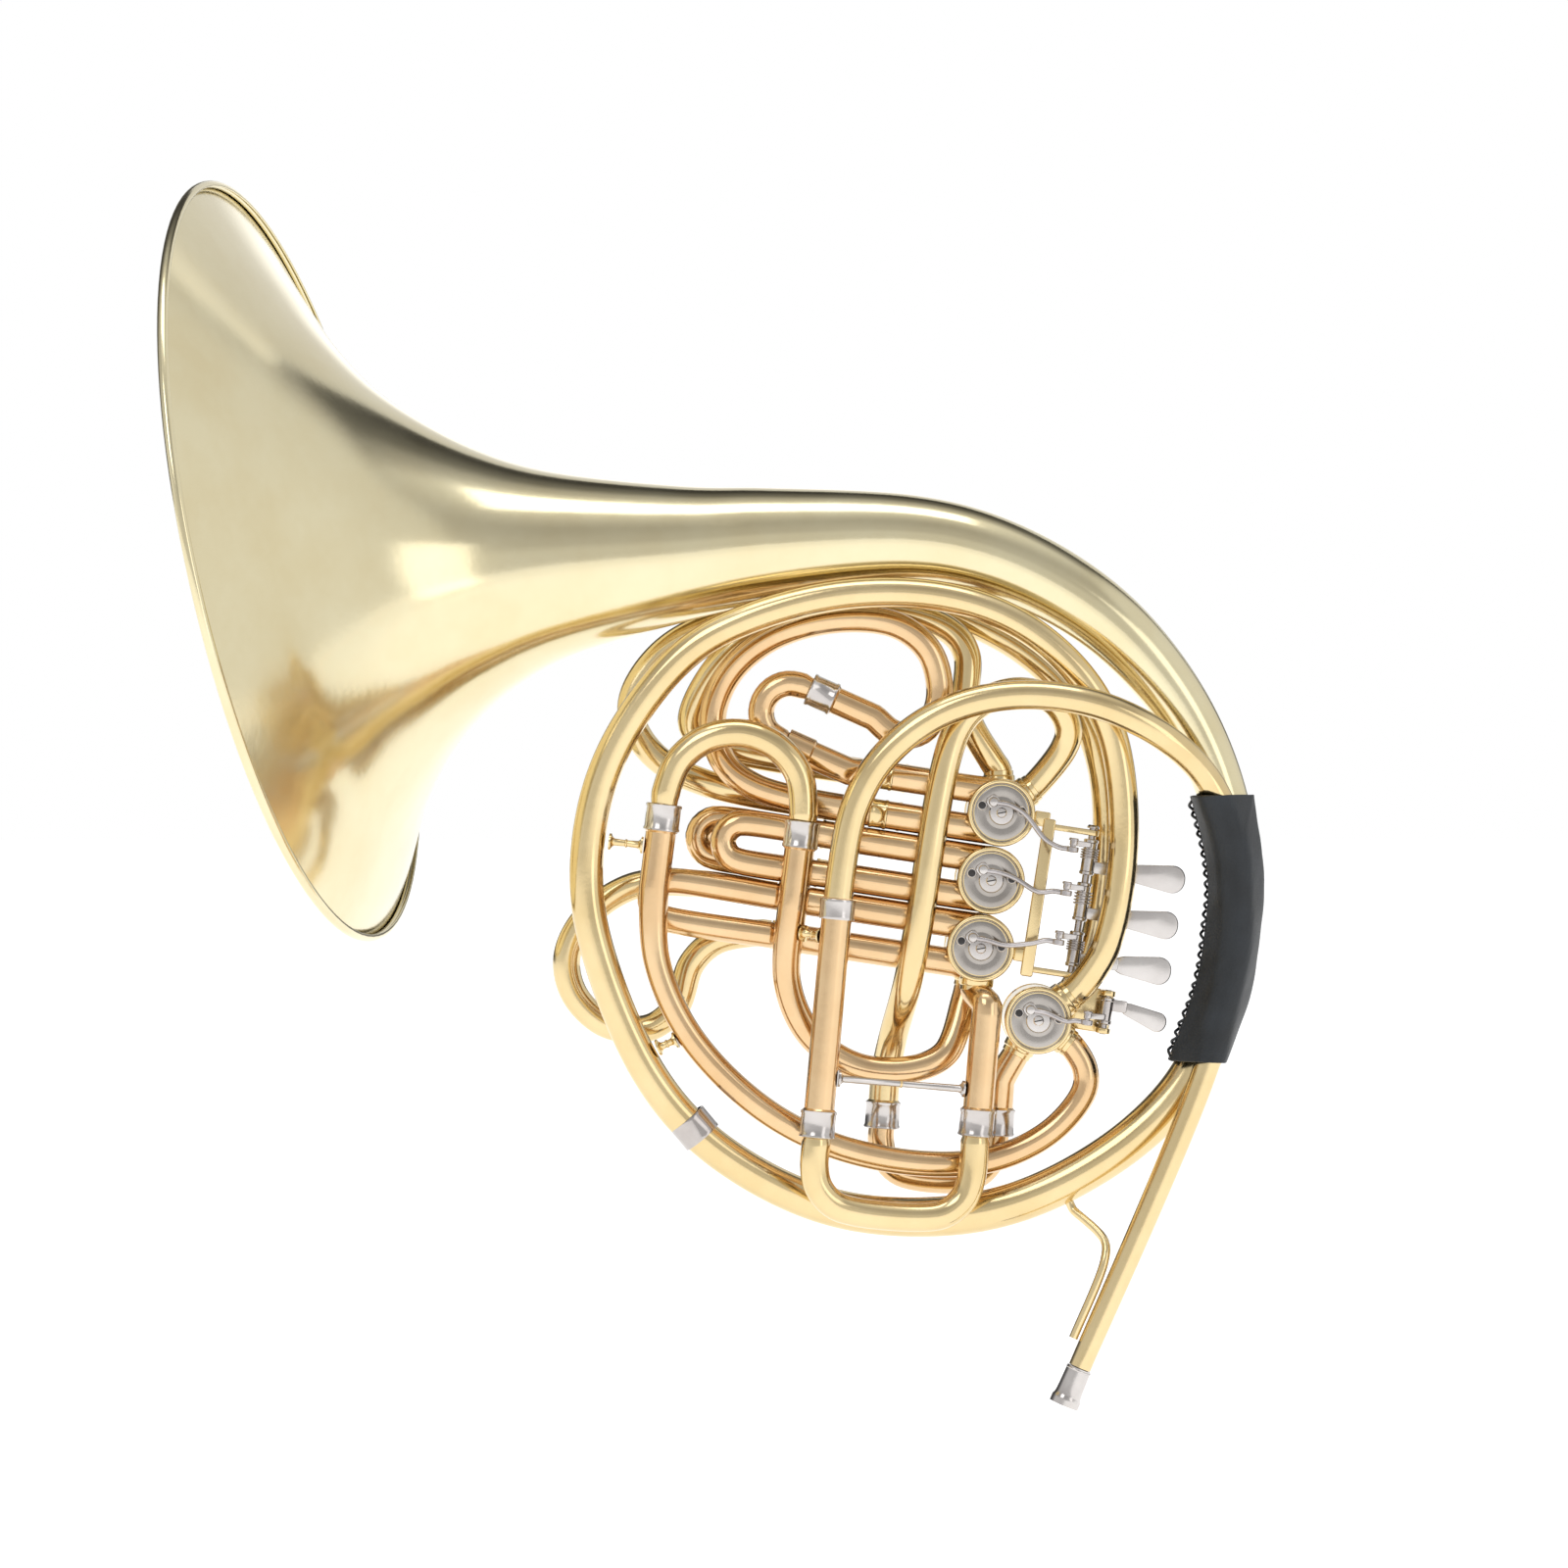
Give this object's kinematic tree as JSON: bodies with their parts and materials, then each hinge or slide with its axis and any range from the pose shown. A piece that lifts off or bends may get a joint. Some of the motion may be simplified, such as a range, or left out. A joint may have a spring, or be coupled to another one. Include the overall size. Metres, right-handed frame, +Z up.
{
  "type": "double french horn",
  "caption": "Double french horn: flared bell, coiled tubing, rotary valves with levers, pull-out tuning slides and a leather hand guard.",
  "frame": {"origin": "middle of the hand guard, in the grip's centre, level with the valve section", "axes": "+X to the right and +Z up as seen from the valves' front, +Y towards the back; the bell flares towards -X and +Y and the mouthpiece end points down -Z"},
  "size_m": [0.4393, 0.3125, 0.4973],
  "materials": {
    "brass": "clear-lacquered yellow brass, polished",
    "rose": "clear-lacquered gold brass, polished",
    "nickel": "polished nickel silver",
    "steel": "bright steel",
    "leather": "smooth black leather"
  },
  "bodies": {
    "horn": {"bell": "brass", "rim_wire": "brass", "first_branch": "brass", "leadpipe": "brass", "receiver": "nickel", "main_sleeve_left": "rose", "main_sleeve_right": "rose", "second_branch": "rose", "f_feed": "rose", "bb_branch": "brass", "bb_sleeve": "rose", "valve_casing_1": "brass", "valve_cap_1": "brass", "valve_casing_2": "brass", "valve_cap_2": "brass", "valve_casing_3": "brass", "valve_cap_3": "brass", "valve_casing_thumb": "brass", "valve_cap_thumb": "brass", "first_loop": "rose", "first_return": "rose", "middle_loop": "brass", "outer_loop": "brass", "third_loop": "brass", "hand_guard": "leather", "lever_rod": "brass", "thumb_rod": "brass", "lever_bracket": "brass", "thumb_bracket": "brass", "branch_ferrule": "nickel", "leadpipe_ferrule": "nickel", "brace_upper_left": "brass", "brace_lower_left": "brass", "brace_sleeves": "brass", "brace_main_slide": "brass", "brace_third_loop": "brass", "leadpipe_brace": "brass"},
    "main_slide": {"main_tuning_slide": "brass"},
    "f_slide": {"f_tuning_slide": "brass"},
    "bb_slide": {"bb_tuning_slide": "rose"},
    "first_valve_slide": {"first_slide": "rose"},
    "second_valve_slide": {"second_slide": "rose"},
    "second_valve_rear_slide": {"second_rear_slide": "rose"},
    "third_valve_slide": {"third_slide": "rose"},
    "first_rotor": {"rotor_1": "nickel"},
    "first_lever": {"lever_1": "nickel"},
    "first_link": {"link_1": "steel"},
    "second_rotor": {"rotor_2": "nickel"},
    "second_lever": {"lever_2": "nickel"},
    "second_link": {"link_2": "steel"},
    "third_rotor": {"rotor_3": "nickel"},
    "third_lever": {"lever_3": "nickel"},
    "third_link": {"link_3": "steel"},
    "thumb_rotor": {"rotor_thumb": "nickel"},
    "thumb_lever": {"lever_thumb": "nickel"},
    "thumb_link": {"link_thumb": "steel"}
  },
  "joints": [
    {"name": "main_slide_pull", "type": "slide", "parent": "horn", "child": "main_slide", "axis": [-0.0906, 0, -0.9959], "range_m": [0, 0.04]},
    {"name": "f_slide_pull", "type": "slide", "parent": "horn", "child": "f_slide", "axis": [0.1219, 0, 0.9925], "range_m": [0, 0.018]},
    {"name": "bb_slide_pull", "type": "slide", "parent": "horn", "child": "bb_slide", "axis": [-0.07, 0, -0.9975], "range_m": [0, 0.01]},
    {"name": "first_slide_pull", "type": "slide", "parent": "horn", "child": "first_valve_slide", "axis": [-0.9143, 0, 0.4051], "range_m": [0, 0.016]},
    {"name": "second_slide_pull", "type": "slide", "parent": "horn", "child": "second_valve_slide", "axis": [-0.9885, 0, 0.1513], "range_m": [0, 0.03]},
    {"name": "second_rear_slide_pull", "type": "slide", "parent": "horn", "child": "second_valve_rear_slide", "axis": [-0.9885, 0, 0.1513], "range_m": [0, 0.038]},
    {"name": "third_slide_pull", "type": "slide", "parent": "horn", "child": "third_valve_slide", "axis": [-0.9885, 0, 0.1513], "range_m": [0, 0.05]},
    {"name": "first_rotor_turn", "type": "hinge", "parent": "horn", "child": "first_rotor", "pos_m": [-0.09614, 0, 0.02598], "axis": [0, 1, 0], "range_deg": [0, 90]},
    {"name": "first_lever_press", "type": "hinge", "parent": "horn", "child": "first_lever", "pos_m": [-0.05971, -0.001, 0.01282], "axis": [0.1513, 0, 0.9885], "range_deg": [0, 20], "stiffness_Nm_per_rad": 0.08, "springref_deg": -14.32},
    {"name": "first_link_pivot", "type": "hinge", "parent": "first_lever", "child": "first_link", "pos_m": [-0.06762, -0.0215, 0.01403], "axis": [0.1513, 0, 0.9885], "range_deg": [-20, 0]},
    {"name": "second_rotor_turn", "type": "hinge", "parent": "horn", "child": "second_rotor", "pos_m": [-0.1003, 0, -0.0012], "axis": [0, 1, 0], "range_deg": [0, 90]},
    {"name": "second_lever_press", "type": "hinge", "parent": "horn", "child": "second_lever", "pos_m": [-0.06237, -0.001, -0.00458], "axis": [0.1513, 0, 0.9885], "range_deg": [0, 20], "stiffness_Nm_per_rad": 0.08, "springref_deg": -14.32},
    {"name": "second_link_pivot", "type": "hinge", "parent": "second_lever", "child": "second_link", "pos_m": [-0.07028, -0.0215, -0.00336], "axis": [0.1513, 0, 0.9885], "range_deg": [-20, 0]},
    {"name": "third_rotor_turn", "type": "hinge", "parent": "horn", "child": "third_rotor", "pos_m": [-0.10446, 0, -0.02838], "axis": [0, 1, 0], "range_deg": [0, 90]},
    {"name": "third_lever_press", "type": "hinge", "parent": "horn", "child": "third_lever", "pos_m": [-0.06538, -0.001, -0.02425], "axis": [0.1513, 0, 0.9885], "range_deg": [0, 20], "stiffness_Nm_per_rad": 0.08, "springref_deg": -14.32},
    {"name": "third_link_pivot", "type": "hinge", "parent": "third_lever", "child": "third_link", "pos_m": [-0.07329, -0.0215, -0.02304], "axis": [0.1513, 0, 0.9885], "range_deg": [-20, 0]},
    {"name": "thumb_rotor_turn", "type": "hinge", "parent": "horn", "child": "thumb_rotor", "pos_m": [-0.08137, 0, -0.05731], "axis": [0, 1, 0], "range_deg": [0, 90]},
    {"name": "thumb_lever_press", "type": "hinge", "parent": "horn", "child": "thumb_lever", "pos_m": [-0.05411, -0.001, -0.05632], "axis": [0.1513, 0, 0.9885], "range_deg": [0, 20], "stiffness_Nm_per_rad": 0.08, "springref_deg": -14.32},
    {"name": "thumb_link_pivot", "type": "hinge", "parent": "thumb_lever", "child": "thumb_link", "pos_m": [-0.06201, -0.0215, -0.05511], "axis": [0.1513, 0, 0.9885], "range_deg": [-20, 0]}
  ],
  "couplings": [
    {"joint": "first_lever_press", "follows": "first_rotor_turn", "ratio": 0.22222},
    {"joint": "first_link_pivot", "follows": "first_rotor_turn", "ratio": -0.22222},
    {"joint": "second_lever_press", "follows": "second_rotor_turn", "ratio": 0.22222},
    {"joint": "second_link_pivot", "follows": "second_rotor_turn", "ratio": -0.22222},
    {"joint": "third_lever_press", "follows": "third_rotor_turn", "ratio": 0.22222},
    {"joint": "third_link_pivot", "follows": "third_rotor_turn", "ratio": -0.22222},
    {"joint": "thumb_lever_press", "follows": "thumb_rotor_turn", "ratio": 0.22222},
    {"joint": "thumb_link_pivot", "follows": "thumb_rotor_turn", "ratio": -0.22222}
  ]
}
